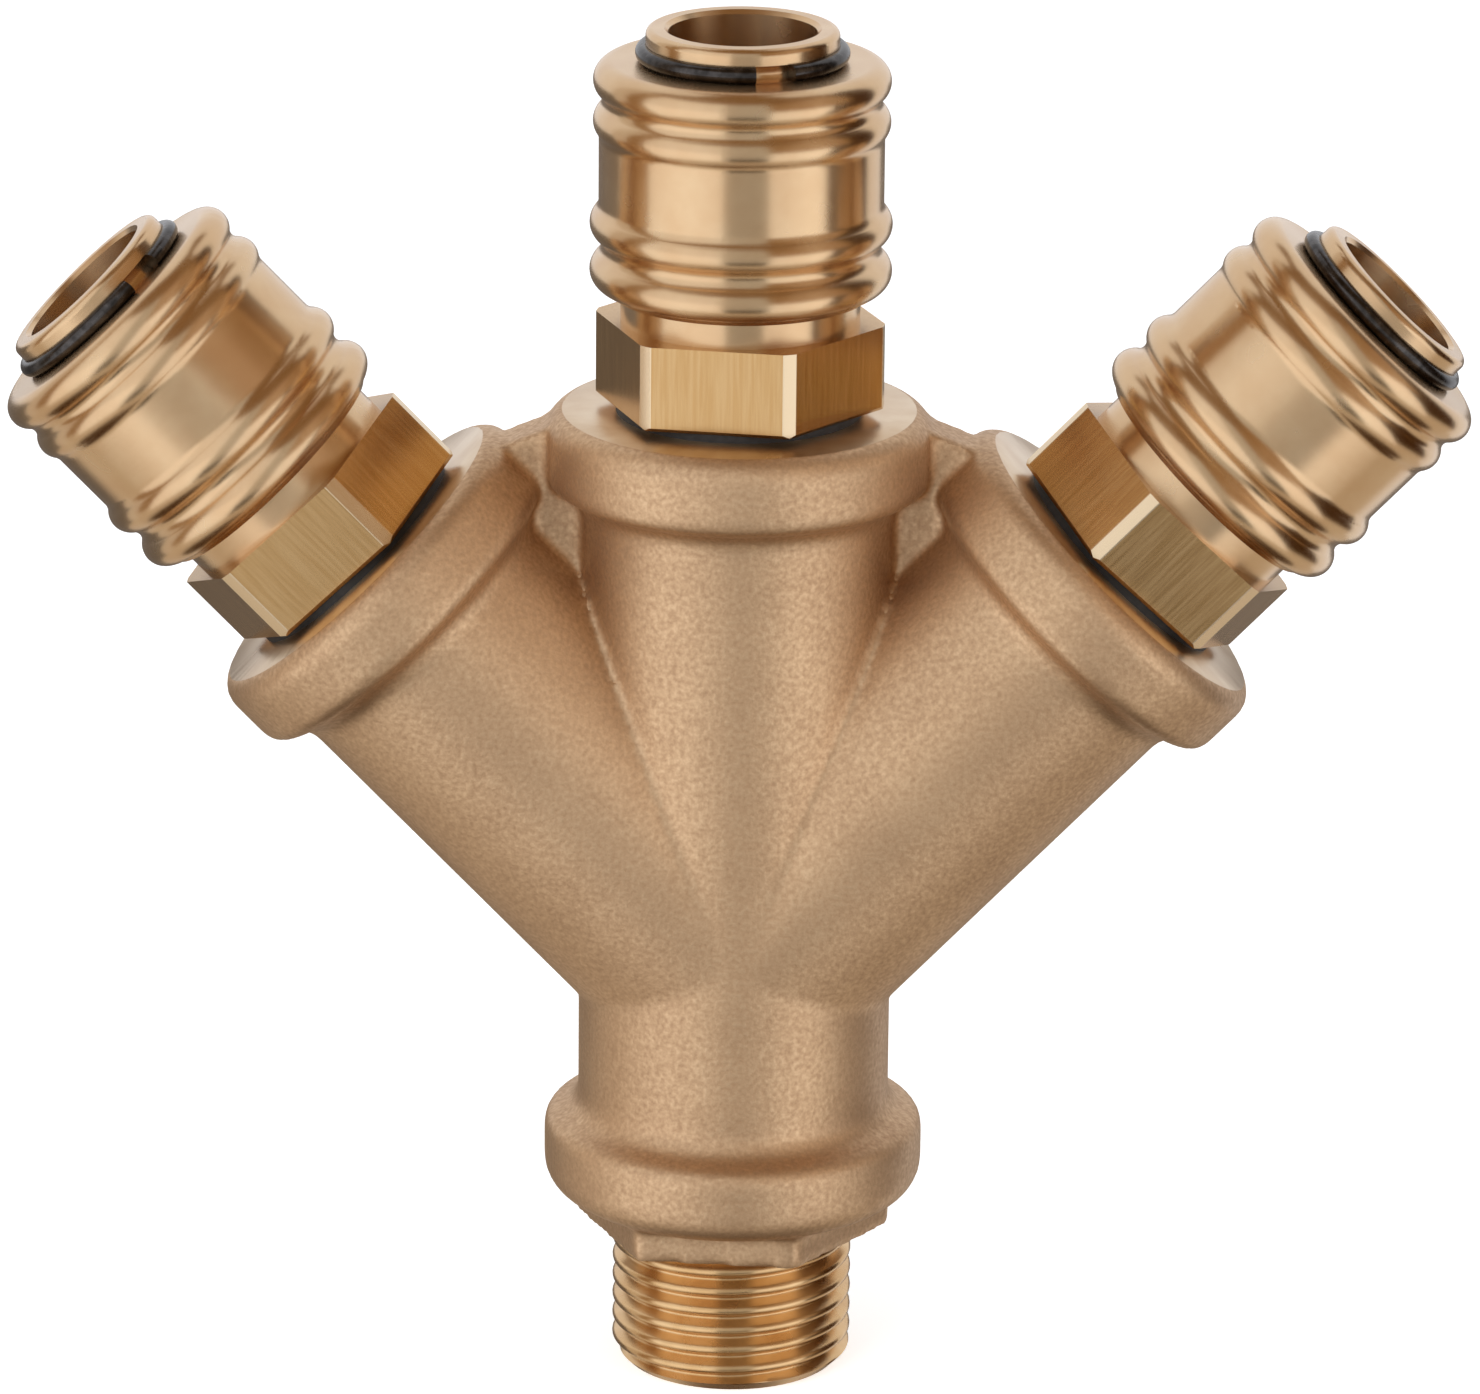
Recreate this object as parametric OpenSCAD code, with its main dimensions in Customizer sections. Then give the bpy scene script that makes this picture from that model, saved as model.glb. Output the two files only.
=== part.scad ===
// Three-way compressed air distributor: a cast brass body with a male inlet thread
// and three outlets, each with a screwed-in quick coupling for hose plugs.
// Millimetres, +Z up the inlet, the outlets fan out in the XZ plane, the front is -Y.

/* [Casting] */
// Angle between neighbouring outlets, in degrees
branch_angle = 44; // [42:0.5:50]
// Height of the point where the four passages meet, above the end of the inlet thread
junction_h = 39.3; // [38:0.1:48]
// Distance from that point to each outlet face
outlet_reach = 47.2; // [46:0.1:54]
// Outside diameter of the cast tubes
tube_d = 27.1; // [26:0.1:28.5]
// Outside diameter of the collars round the four ends
collar_d = 33; // [31.5:0.1:33.5]
// Height of a collar from its face to the start of its blend into the tube
collar_h = 5.4; // [4.5:0.1:8]
// Rounding of a collar's outer edge at an outlet
collar_edge_r = 2; // [1.2:0.1:2.6]
// Length over which a collar blends into the tube
collar_blend = 3.5; // [3.2:0.1:4.5]
// Thickness of the flat webs between neighbouring collars
web_t = 5.5; // [3:0.1:8]
// How far a web's top edge lies above the centre of the collars' edge rounding
web_rise = 1.4; // [0.4:0.1:1.8]
// Diameter of the air passages inside the casting
passage_d = 17; // [12:0.1:19]

/* [Inlet] */
// Outside diameter of the male threads, half-inch pipe size
thread_d = 20.955; // [20.5:0.005:21.4]
// Length of the inlet thread up to the hexagon above it
inlet_thread_l = 12.6; // [10:0.1:15]
// Bore of the inlet thread
inlet_bore_d = 15; // [10:0.1:16]
// Chamfer at the start of the threads
thread_chamfer = 1.1; // [0.5:0.1:1.5]
// Width across flats of the low cast hexagon over the thread
cast_hex_af = 24.2; // [23:0.1:26]
// Visible height of the cast hexagon
cast_hex_h = 3.2; // [1.5:0.1:4]
// Turn of the cast hexagon about the inlet axis, in degrees
cast_hex_turn = 23.6; // [0:0.1:60]
// Height of the inlet collar from its lower face to the start of its blend
inlet_collar_h = 5.8; // [4.5:0.1:7]
// Rounding of the inlet collar's lower edge
inlet_edge_r = 2.8; // [1.5:0.1:3.2]

/* [Coupling adapter] */
// Length of the thread that screws into the casting
outlet_thread_l = 10; // [7:0.1:12]
// Thickness of the flat seal under the hexagon
thread_seal_h = 0.7; // [0.4:0.1:1.6]
// Width across flats of the spanner hexagon
hex_af = 22; // [21.8:0.1:23]
// Diameter to which the hexagon's corners are turned
hex_corner_d = 24.8; // [24:0.1:25.2]
// Height of the spanner hexagon
hex_h = 7.4; // [5.5:0.1:10]
// Chamfer along the hexagon's lower edges
hex_chamfer = 0.35; // [0.2:0.05:0.6]
// Nominal bore for the air
nominal_bore_d = 7.2; // [5:0.1:8]
// Diameter of the spigot that screws into the barrel
spigot_d = 16.8; // [16.2:0.1:17.2]
// Length of that spigot
spigot_l = 4; // [3:0.1:5]

/* [Coupling barrel] */
// Wide mouth that guides the plug's shoulder
mouth_d = 12.6; // [12.2:0.1:13]
// Bore past the mouth, where the balls lock the plug
plug_bore_d = 11.2; // [11:0.1:11.6]
// Outside diameter of the barrel's nose, on which the sleeve slides
nose_d = 16.4; // [16.2:0.1:16.8]
// Room for the sleeve's spring, from the nose out to the neck
spring_room = 2; // [1.8:0.1:2.2]
// Height of the nose above the sleeve's front face
nose_rise = 2.85; // [2.2:0.05:4]
// Wire diameter of the retaining ring
ring_wire_d = 1.45; // [1.2:0.05:1.6]
// Opening of the retaining ring, in degrees
ring_gap_angle = 22; // [10:1:40]

/* [Sleeve] */
// Length of the sliding sleeve
sleeve_l = 20.1; // [19.5:0.1:24]
// Visible neck between the hexagon and the sleeve
neck_gap = 2.3; // [2.2:0.1:3.4]
// How far the sleeve slides back to let the plug go
sleeve_travel = 2; // [1.6:0.1:2.1]
// Diameter of the smooth middle band
band_d = 24.2; // [23.6:0.1:24.6]
// Height of the two front beads over that band
front_bead_rise = 0.5; // [0.4:0.05:0.7]
// Height of the two rear beads over that band
rear_bead_rise = 0.75; // [0.6:0.05:0.9]
// Depth of the grooves between the beads below that band
groove_drop = 0.25; // [0.1:0.05:0.3]
// Rounding of the beads
bead_r = 1.6; // [1.4:0.05:1.7]
// Cove between a bead and the band
band_cove_r = 1.2; // [0.6:0.1:2]
// Wall of the sleeve at its rear edge
rear_edge_t = 0.75; // [0.5:0.05:1]

/* [Locking balls and springs] */
// Number of locking balls in one coupling
balls = 3; // [3:1:4]
// Diameter of a ball
ball_d = 4; // [3.8:0.1:4.2]
// How far a ball stands into the plug bore, which the sleeve lets it give back
ball_lift = 1; // [0.8:0.05:1.1]
// Wire diameter of the sleeve's spring
sleeve_wire_d = 0.9; // [0.6:0.05:1.1]
// Turns of the sleeve's spring
sleeve_turns = 4.5; // [3.5:0.5:5]
// Wire diameter of the valve's spring
valve_wire_d = 0.8; // [0.5:0.05:0.9]
// Turns of the valve's spring
valve_turns = 5.5; // [4:0.5:5.5]

/* [Valve] */
// Bore in which the valve's head slides
valve_bore_d = 14; // [13.4:0.1:14.4]
// How far the plug pushes the valve open
valve_travel = 2.6; // [2:0.1:3]
// Opening of the valve seat
seat_d = 9.2; // [8.6:0.1:9.8]
// Thickness of the valve's flat seal
valve_seal_h = 0.9; // [0.6:0.1:1.2]
// Thickness of the valve's head
valve_head_h = 2; // [1.4:0.1:2.4]
// Wall of the valve's hollow stem
stem_wall = 1.2; // [0.8:0.1:1.6]
// Thickness of the ring that seals the plug
plug_seal_w = 1.9; // [1.6:0.05:2]

/* [Clearances] */
// Radial clearance of the pieces that slide
slide_gap = 0.08; // [0.04:0.01:0.1]
// Radial clearance of the screwed joints
screw_gap = 0.05; // [0.02:0.01:0.1]
// Clearance of seals and springs at their seats
seat_gap = 0.02; // [0.01:0.01:0.05]
// Clearance round a locking ball
ball_gap = 0.05; // [0.03:0.01:0.08]

/* [Hidden] */
$fn = 64;
cut = 1;
tube_r = tube_d / 2;
collar_r = collar_d / 2;
thread_r = thread_d / 2;
hex_r = hex_corner_d / 2;
nose_r = nose_d / 2;
neck_r = nose_r + spring_room;
mouth_r = mouth_d / 2;
plug_r = plug_bore_d / 2;
spigot_r = spigot_d / 2;
band_r = band_d / 2;
ball_r = ball_d / 2;
valve_r = valve_bore_d / 2;
seat_r = seat_d / 2;
ring_r = ring_wire_d / 2;

// Each coupling: name, tilt as a share of the branch angle, turn of its hexagon and of its ring's gap
couplings = [["left", -1, 26.5, 42], ["middle", 0, 20, 18.4], ["right", 1, -22.3, 140]];

// A cove bites a hair past its tangent points, so that its ends are clean
blend_lap = 0.004;

// Casting: the side tubes are a hair thinner, so that they run cleanly into the upright one
side_tube_ease = 0.06;
side_tube_r = tube_r - side_tube_ease;
half_angle = branch_angle / 2;
drill_run = 1.5;
outlet_bore_l = outlet_thread_l + drill_run;
chamber_room = 1.6;
web_corner_along = outlet_reach - collar_edge_r;
web_corner_out = collar_r - collar_edge_r;
web_top = web_corner_along * cos(half_angle) + web_corner_out * sin(half_angle) + web_rise;
web_half_w = web_corner_along * sin(half_angle) - web_corner_out * cos(half_angle);
web_root_share = 0.6;
web_root = web_root_share * tube_r / sin(half_angle);
inlet_collar_z = inlet_thread_l + cast_hex_h;

// Groove between the outlet thread and the hexagon, which holds the flat seal
undercut_depth = 1.1;
undercut_r = thread_r - undercut_depth;
thread_run_out = 0.6;
seal_inset = 0.1;

// Heights along a coupling, from the outlet face
hex_top = thread_seal_h + hex_h;
spigot_top = hex_top + spigot_l;
shoulder_t = 1.4;
neck_top = spigot_top + shoulder_t;
sleeve_rear = hex_top + neck_gap;
sleeve_face = sleeve_rear + sleeve_l;
nose_top = sleeve_face + nose_rise;
ring_z = sleeve_face + seat_gap + ring_r;
ring_stand = 0.15;
ring_mid_r = nose_r + ring_stand;

// Locking: balls, and the ramp in the sleeve that lets them move out as it slides back
lip_l = 2.2;
land_l = 2.5;
relief_room = 0.15;
ball_z = sleeve_face - lip_l - relief_room - sleeve_travel - ball_r;
ball_mid_r = plug_r - ball_lift + ball_r;
ramp = ball_lift / sleeve_travel;
ramp_mid_r = ball_mid_r + (ball_r + ball_gap) / cos(atan(ramp));
land_r = nose_r + slide_gap;
relief_r = ball_mid_r + ball_lift + ball_r + 2 * ball_gap;
ramp_start = ball_z - (ramp_mid_r - land_r) / ramp;
ramp_end = ball_z + (relief_r - ramp_mid_r) / ramp;
relief_end = sleeve_face - lip_l;
chamber_r = neck_r + slide_gap;
chamber_top = ramp_start - land_l;

// Valve, from the plug's seal down to the spring's seat
ball_land = 1.4;
seal_groove_depth = 1.15;
tip_step = 0.6;
seat_t = 1.5;
stem_gap = 0.3;
stem_rise = 0.4;
spring_ledge = 1.8;
coil_gap = 0.3;
valve_room = 0.4;
flat_cut = 1.2;
mouth_floor = ball_z + ball_r + ball_land / 2;
seal_top = ball_z - ball_r - ball_land;
seal_z = seal_top - plug_seal_w - 2 * seat_gap;
seal_groove_r = plug_r + seal_groove_depth;
tip_bore_r = plug_r - tip_step;
stem_top = seal_z + stem_rise;
seat_top = stem_top - valve_travel;
seat_z = seat_top - seat_t;
head_top = seat_z - seat_gap - valve_seal_h;
head_z = head_top - valve_head_h;
stem_r = seat_r - stem_gap;
spring_seat_z = hex_top / 2;
spring_well_r = nominal_bore_d / 2 + spring_ledge;
valve_well_z = head_z - valve_travel - valve_room;
valve_coil_r = spring_well_r - valve_wire_d / 2 - coil_gap;

PIECES = ["adapter", "thread_seal", "barrel", "sleeve", "retaining_ring", "sleeve_spring",
          "plug_seal", "valve_poppet", "valve_seal", "valve_spring"];
BALLS = [for (i = [1 : balls]) str("ball_", i)];

cast_brass = [0.69, 0.55, 0.39];
turned_brass = [0.84, 0.69, 0.44];
spring_steel = [0.45, 0.45, 0.47];
ball_steel = [0.78, 0.78, 0.80];
nitrile_rubber = [0.10, 0.10, 0.11];

// Puts a piece drawn along +Z from an outlet face onto that outlet
module at_outlet(tilt) {
    translate([0, 0, junction_h])
        rotate([0, tilt * branch_angle, 0])
            translate([0, 0, outlet_reach])
                children();
}

// Angle about a coupling's axis, counted from the front towards +X
module turned(angle) {
    rotate([0, 0, angle - 90])
        children();
}

// Half section of a collar: face at 0, body upwards, blended by two arcs into a tube at the far end
module collar_section(edge_r, height, pipe_r, length) {
    rise = collar_r - pipe_r;
    sweep = 2 * atan(rise / collar_blend);
    arcs = collar_blend / sin(sweep);
    round_share = 0.4;
    round_r = round_share * arcs;
    cove_r = arcs - round_r;
    cove_z = height + collar_blend;
    square([collar_r - edge_r, height]);
    translate([0, edge_r])
        square([collar_r, height - edge_r]);
    translate([collar_r - edge_r, edge_r])
        circle(edge_r);
    difference() {
        union() {
            polygon([[0, height], [collar_r - round_r, height], [pipe_r + cove_r, cove_z], [0, cove_z]]);
            intersection() {
                translate([collar_r - round_r, height])
                    circle(round_r);
                translate([0, height])
                    square([collar_d, round_r]);
            }
        }
        translate([pipe_r + cove_r, cove_z])
            circle(cove_r + blend_lap);
    }
    square([pipe_r, length]);
}

// One outlet of the casting, from its face down to the junction
module outlet_tube(pipe_r) {
    mirror([0, 0, 1])
        rotate_extrude()
            collar_section(collar_edge_r, collar_h, pipe_r, outlet_reach);
}

module web(side) {
    translate([0, 0, junction_h])
        rotate([0, side * half_angle, 0])
            translate([-web_half_w, -web_t / 2, web_root])
                cube([2 * web_half_w, web_t, web_top - web_root]);
}

module inlet_end() {
    cylinder(h = thread_chamfer, r1 = thread_r - thread_chamfer, r2 = thread_r);
    translate([0, 0, thread_chamfer])
        cylinder(h = inlet_thread_l, r = thread_r);
    translate([0, 0, inlet_thread_l])
        rotate([0, 0, cast_hex_turn - 90])
            cylinder(h = cast_hex_h + inlet_edge_r, d = cast_hex_af / cos(30), $fn = 6);
    translate([0, 0, inlet_collar_z])
        rotate_extrude()
            collar_section(inlet_edge_r, inlet_collar_h, tube_r, junction_h - inlet_collar_z);
}

module outlet_bore() {
    translate([0, 0, -outlet_bore_l])
        cylinder(h = outlet_bore_l + cut, r = thread_r + screw_gap);
    translate([0, 0, -outlet_reach])
        cylinder(h = outlet_reach, d = passage_d);
}

module manifold_body() {
    color(cast_brass)
        difference() {
            union() {
                inlet_end();
                at_outlet(0)
                    outlet_tube(tube_r);
                for (side = [-1, 1]) {
                    at_outlet(side)
                        outlet_tube(side_tube_r);
                    web(side);
                }
            }
            for (c = couplings)
                at_outlet(c[1])
                    outlet_bore();
            translate([0, 0, -cut])
                cylinder(h = junction_h + cut, d = inlet_bore_d);
            translate([0, 0, junction_h])
                sphere(d = passage_d + chamber_room);
        }
}

// Hexagon with its corners turned down and its lower edges chamfered
module spanner_hexagon(hex_turn) {
    bar = hex_chamfer * sqrt(2);
    difference() {
        intersection() {
            translate([0, 0, thread_seal_h])
                cylinder(h = hex_h, r = hex_r);
            translate([0, 0, thread_seal_h - cut])
                turned(hex_turn)
                    cylinder(h = hex_h + 2 * cut, d = hex_af / cos(30), $fn = 6);
        }
        for (i = [0 : 5])
            turned(hex_turn + 30 + 60 * i)
                translate([hex_af / 2, 0, thread_seal_h])
                    rotate([0, 45, 0])
                        cube([bar, hex_corner_d, bar], center = true);
    }
}

// Hexagon and thread that carry a coupling in its outlet
module adapter(hex_turn) {
    color(turned_brass)
        difference() {
            union() {
                translate([0, 0, -outlet_thread_l]) {
                    cylinder(h = thread_chamfer, r1 = thread_r - thread_chamfer, r2 = thread_r);
                    translate([0, 0, thread_chamfer])
                        cylinder(h = outlet_thread_l - thread_chamfer - thread_run_out, r = thread_r);
                }
                translate([0, 0, -outlet_thread_l / 2])
                    cylinder(h = outlet_thread_l / 2 + thread_seal_h + cut, r = undercut_r);
                spanner_hexagon(hex_turn);
                translate([0, 0, hex_top - cut])
                    cylinder(h = spigot_l + cut, r = spigot_r);
            }
            translate([0, 0, -outlet_thread_l - cut])
                cylinder(h = outlet_thread_l + hex_top, d = nominal_bore_d);
            translate([0, 0, spring_seat_z])
                cylinder(h = spigot_top, r = spring_well_r);
            translate([0, 0, valve_well_z])
                cylinder(h = spigot_top, r = valve_r);
        }
}

module thread_seal() {
    color(nitrile_rubber)
        difference() {
            cylinder(h = thread_seal_h, r = hex_af / 2 - hex_chamfer - seal_inset);
            translate([0, 0, -cut])
                cylinder(h = thread_seal_h + 2 * cut, r = undercut_r + screw_gap);
        }
}

// Tapered hole that keeps a ball from falling into the plug bore
module ball_hole() {
    taper = 15;
    hole_r = (ball_r + ball_gap) / cos(taper);
    depth = ball_mid_r - plug_r + cut;
    rotate([0, 90, 0])
        translate([0, 0, ball_mid_r]) {
            cylinder(h = nose_r, r = hole_r);
            translate([0, 0, -depth])
                cylinder(h = depth, r1 = hole_r - depth * tan(taper), r2 = hole_r);
        }
}

module barrel() {
    rim_r = 0.6;
    mouth_chamfer = 0.35;
    color(turned_brass)
        difference() {
            rotate_extrude()
                difference() {
                    union() {
                        translate([0, hex_top])
                            square([neck_r, neck_top - hex_top]);
                        translate([0, hex_top])
                            square([nose_r, nose_top - rim_r - hex_top]);
                        square([nose_r - rim_r, nose_top]);
                        translate([nose_r - rim_r, nose_top - rim_r])
                            circle(rim_r);
                    }
                    square([spigot_r + screw_gap, spigot_top + screw_gap]);
                    square([valve_r, seat_z]);
                    square([seat_r, nose_top]);
                    translate([0, seat_top])
                        square([tip_bore_r, nose_top]);
                    translate([0, seal_z])
                        square([seal_groove_r, seal_top - seal_z]);
                    translate([0, seal_z])
                        square([plug_r, nose_top]);
                    translate([0, mouth_floor])
                        square([mouth_r, nose_top]);
                    translate([0, nose_top - mouth_chamfer])
                        polygon([[0, 0], [mouth_r, 0], [mouth_r + 2 * mouth_chamfer, 2 * mouth_chamfer],
                                 [0, 2 * mouth_chamfer]]);
                    translate([ring_mid_r, ring_z])
                        circle(ring_r + seat_gap);
                }
            for (i = [1 : balls])
                translate([0, 0, ball_z])
                    rotate([0, 0, ball_angle(i)])
                        ball_hole();
        }
}

// The first ball faces the back
function ball_angle(i) = 90 + (i - 1) * 360 / balls;

module ball(i) {
    color(ball_steel)
        rotate([0, 0, ball_angle(i)])
            translate([ball_mid_r, 0, ball_z])
                sphere(ball_r);
}

// Radius of the cove that runs smoothly into two beads a pitch apart
function groove_cove_r(pitch, depth) = pitch * pitch / (8 * depth) - bead_r + depth / 2;

// Distance along the sleeve from a bead to the cove between it and the smooth band
function band_cove_z(rise) = sqrt(pow(bead_r + band_cove_r, 2) - pow(bead_r + band_cove_r - rise, 2));

// The outline runs through the centres of the beads and coves, which then round it
module sleeve() {
    front_pitch = 3.55;
    rear_pitch = 4.1;
    rear_taper = 1.2;
    rear_step = 0.35;
    front_r = band_r + front_bead_rise;
    rear_r = band_r + rear_bead_rise;
    groove_r = band_r - groove_drop;
    front_cove_r = groove_cove_r(front_pitch, front_r - groove_r);
    rear_cove_r = groove_cove_r(rear_pitch, rear_r - groove_r);
    rear_bead = [rear_r - bead_r, sleeve_rear + rear_taper + bead_r / 2];
    band_bottom_bead = rear_bead + [0, rear_pitch];
    face_bead = [front_r - bead_r, sleeve_face - bead_r];
    band_top_bead = face_bead - [0, front_pitch];
    rear_cove = [groove_r + rear_cove_r, rear_bead[1] + rear_pitch / 2];
    front_cove = [groove_r + front_cove_r, face_bead[1] - front_pitch / 2];
    band_bottom_cove = [band_r + band_cove_r, band_bottom_bead[1] + band_cove_z(rear_bead_rise)];
    band_top_cove = [band_r + band_cove_r, band_top_bead[1] - band_cove_z(front_bead_rise)];
    color(turned_brass)
        rotate_extrude()
            difference() {
                union() {
                    polygon([[0, sleeve_rear], [chamber_r + rear_edge_t, sleeve_rear],
                             [rear_r - rear_step, sleeve_rear + rear_taper], rear_bead, rear_cove,
                             band_bottom_bead, band_bottom_cove, [band_r, band_bottom_cove[1]],
                             [band_r, band_top_cove[1]], band_top_cove, band_top_bead, front_cove,
                             face_bead, [face_bead[0], sleeve_face], [0, sleeve_face]]);
                    for (bead = [rear_bead, band_bottom_bead, band_top_bead, face_bead])
                        translate(bead)
                            circle(bead_r);
                }
                for (cove = [[rear_cove, rear_cove_r], [band_bottom_cove, band_cove_r],
                             [band_top_cove, band_cove_r], [front_cove, front_cove_r]])
                    translate(cove[0])
                        circle(cove[1] + blend_lap);
                polygon([[0, sleeve_rear - cut], [chamber_r, sleeve_rear - cut], [chamber_r, chamber_top],
                         [land_r, chamber_top], [land_r, ramp_start], [relief_r, ramp_end],
                         [relief_r, relief_end], [land_r, relief_end], [land_r, sleeve_face + cut],
                         [0, sleeve_face + cut]]);
            }
}

module retaining_ring(gap_turn) {
    color(spring_steel)
        turned(gap_turn + ring_gap_angle / 2)
            translate([0, 0, ring_z])
                rotate_extrude(angle = 360 - ring_gap_angle)
                    translate([ring_mid_r, 0])
                        circle(ring_r);
}

module plug_seal() {
    color(nitrile_rubber)
        translate([0, 0, (seal_z + seal_top) / 2])
            rotate_extrude()
                translate([seal_groove_r - seat_gap - plug_seal_w / 2, 0])
                    circle(plug_seal_w / 2);
}

// Head with three flats for the air, hollow windowed stem and a spring spigot below
module valve_poppet() {
    window_r = 0.9;
    window_rise = 1.2;
    window_z = seat_z + window_rise;
    spring_spigot_r = valve_coil_r - valve_wire_d / 2 - coil_gap;
    spring_spigot_l = 2;
    color(turned_brass)
        difference() {
            union() {
                intersection() {
                    translate([0, 0, head_z])
                        cylinder(h = valve_head_h, r = valve_r - slide_gap);
                    translate([0, 0, head_z - cut])
                        cylinder(h = valve_head_h + 2 * cut, r = 2 * (valve_r - flat_cut), $fn = 3);
                }
                translate([0, 0, head_z + valve_head_h / 2])
                    cylinder(h = stem_top - head_z - valve_head_h / 2, r = stem_r);
                translate([0, 0, head_z - spring_spigot_l])
                    cylinder(h = spring_spigot_l + cut, r = spring_spigot_r);
            }
            translate([0, 0, head_top])
                cylinder(h = stem_top, r = stem_r - stem_wall);
            for (i = [0 : 2])
                translate([0, 0, window_z])
                    rotate([0, 90, 120 * i])
                        cylinder(h = valve_r, r = window_r);
        }
}

module valve_seal() {
    color(nitrile_rubber)
        translate([0, 0, head_top])
            difference() {
                cylinder(h = valve_seal_h, r = valve_r - flat_cut - seal_inset);
                translate([0, 0, -cut])
                    cylinder(h = valve_seal_h + 2 * cut, r = stem_r + seat_gap);
            }
}

// Height share of a coil at t turns: the first and last turn lie closed, the rest is spread evenly
function coil_z(t, turns, closed) =
    t < 1 ? t * closed
    : t > turns - 1 ? 1 - (turns - t) * closed
    : closed + (t - 1) / (turns - 2) * (1 - 2 * closed);

// Compression spring round the Z axis between two flat seats
module coil_spring(mid_r, wire_d, bottom, top, turns) {
    sides = 6;
    steps_per_turn = 10;
    play = 1.05;
    steps = steps_per_turn * turns;
    low = bottom + wire_d / 2 + seat_gap;
    span = top - wire_d / 2 - seat_gap - low;
    closed = play * wire_d / span;
    points = [for (i = [0 : steps]) for (k = [0 : sides - 1])
        let (turn = 360 * i / steps_per_turn, bend = 360 * k / sides)
        let (out = mid_r + wire_d / 2 * cos(bend))
        [out * cos(turn), out * sin(turn),
         low + span * coil_z(i / steps_per_turn, turns, closed) + wire_d / 2 * sin(bend)]];
    faces = concat(
        [[for (k = [0 : sides - 1]) k]],
        [for (i = [0 : steps - 1]) for (k = [0 : sides - 1])
            let (a = i * sides + k, b = i * sides + (k + 1) % sides)
            for (f = [[a, a + sides, b], [b, a + sides, b + sides]]) f],
        [[for (k = [sides - 1 : -1 : 0]) steps * sides + k]]);
    color(spring_steel)
        polyhedron(points, faces);
}

module sleeve_spring() {
    coil_spring((nose_r + chamber_r) / 2, sleeve_wire_d, neck_top, chamber_top, sleeve_turns);
}

module valve_spring() {
    coil_spring(valve_coil_r, valve_wire_d, spring_seat_z, head_z, valve_turns);
}

module wanted(name) {
    children();
}

manifold_body();
for (c = couplings) {
    wanted(str(c[0], "_adapter")) at_outlet(c[1]) adapter(c[2]);
    wanted(str(c[0], "_thread_seal")) at_outlet(c[1]) thread_seal();
    wanted(str(c[0], "_barrel")) at_outlet(c[1]) barrel();
    wanted(str(c[0], "_sleeve")) at_outlet(c[1]) sleeve();
    wanted(str(c[0], "_retaining_ring")) at_outlet(c[1]) retaining_ring(c[3]);
    wanted(str(c[0], "_sleeve_spring")) at_outlet(c[1]) sleeve_spring();
    wanted(str(c[0], "_plug_seal")) at_outlet(c[1]) plug_seal();
    wanted(str(c[0], "_valve_poppet")) at_outlet(c[1]) valve_poppet();
    wanted(str(c[0], "_valve_seal")) at_outlet(c[1]) valve_seal();
    wanted(str(c[0], "_valve_spring")) at_outlet(c[1]) valve_spring();
    for (i = [1 : balls])
        wanted(str(c[0], "_ball_", i)) at_outlet(c[1]) ball(i);
}
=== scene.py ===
"""Looks of a cast three-way compressed air distributor with a quick coupling in each outlet.

The turned pieces of the couplings are the frame's own. The blasted casting with its soft fillets and its
cut thread, and the wound springs, are made here and stand for their nodes.
"""

import math

import bmesh
import bpy
from mathutils import Euler, Matrix, Vector


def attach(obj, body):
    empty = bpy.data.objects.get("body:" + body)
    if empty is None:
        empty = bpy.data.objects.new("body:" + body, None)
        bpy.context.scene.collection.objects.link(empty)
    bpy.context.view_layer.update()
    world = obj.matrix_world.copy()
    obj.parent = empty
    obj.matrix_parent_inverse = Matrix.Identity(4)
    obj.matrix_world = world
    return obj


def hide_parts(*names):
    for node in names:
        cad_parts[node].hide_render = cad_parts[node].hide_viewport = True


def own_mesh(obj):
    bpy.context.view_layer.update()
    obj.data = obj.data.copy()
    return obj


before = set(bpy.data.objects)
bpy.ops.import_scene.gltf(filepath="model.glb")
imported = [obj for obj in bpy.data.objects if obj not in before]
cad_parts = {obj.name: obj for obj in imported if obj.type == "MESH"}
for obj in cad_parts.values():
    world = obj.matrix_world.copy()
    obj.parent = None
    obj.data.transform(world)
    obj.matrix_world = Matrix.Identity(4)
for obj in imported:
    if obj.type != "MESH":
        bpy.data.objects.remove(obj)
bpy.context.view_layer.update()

MM = 0.001

# Casting, in millimetres and degrees, as in the part's source
TILTS = {"left": -44, "middle": 0, "right": 44}
WEB_TILTS = (-22, 22)
JUNCTION_H = 39.3
OUTLET_REACH = 47.2
TUBE_R = 13.55
SIDE_TUBE_R = 13.49
COLLAR_R = 16.5
COLLAR_H = 5.4
COLLAR_BLEND = 3.5
COLLAR_EDGE_R = 2.0
INLET_COLLAR_Z = 15.8
INLET_COLLAR_H = 5.8
INLET_EDGE_R = 2.8
CAST_HEX_AF = 24.2
CAST_HEX_TURN = 23.6
WEB_T = 5.5
WEB_HALF_W = 3.49
WEB_ROOT = 21.7
WEB_TOP = 48.74
PASSAGE_R = 8.5
CHAMBER_R = 9.3
INLET_BORE_R = 7.5
OUTLET_BORE_R = 10.53
OUTLET_BORE_L = 11.5

# Grid that skins the casting over, and shortest edge that the machining may leave
SKIN_VOXEL = 0.45
SLIVER = 0.002

# Half-inch pipe thread, with rounder crests than its full form has, as in the photo
THREAD_R = 10.4775
THREAD_L = 12.6
THREAD_PITCH = 1.814
THREAD_ANGLE = 55
THREAD_DEPTH = 0.984
THREAD_CREST_R = 0.45
THREAD_ROOT_R = 0.2
THREAD_CHAMFER = 1.1

# Radius to which the spanner hexagon's corners are turned
HEX_CORNER_R = 12.4

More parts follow.
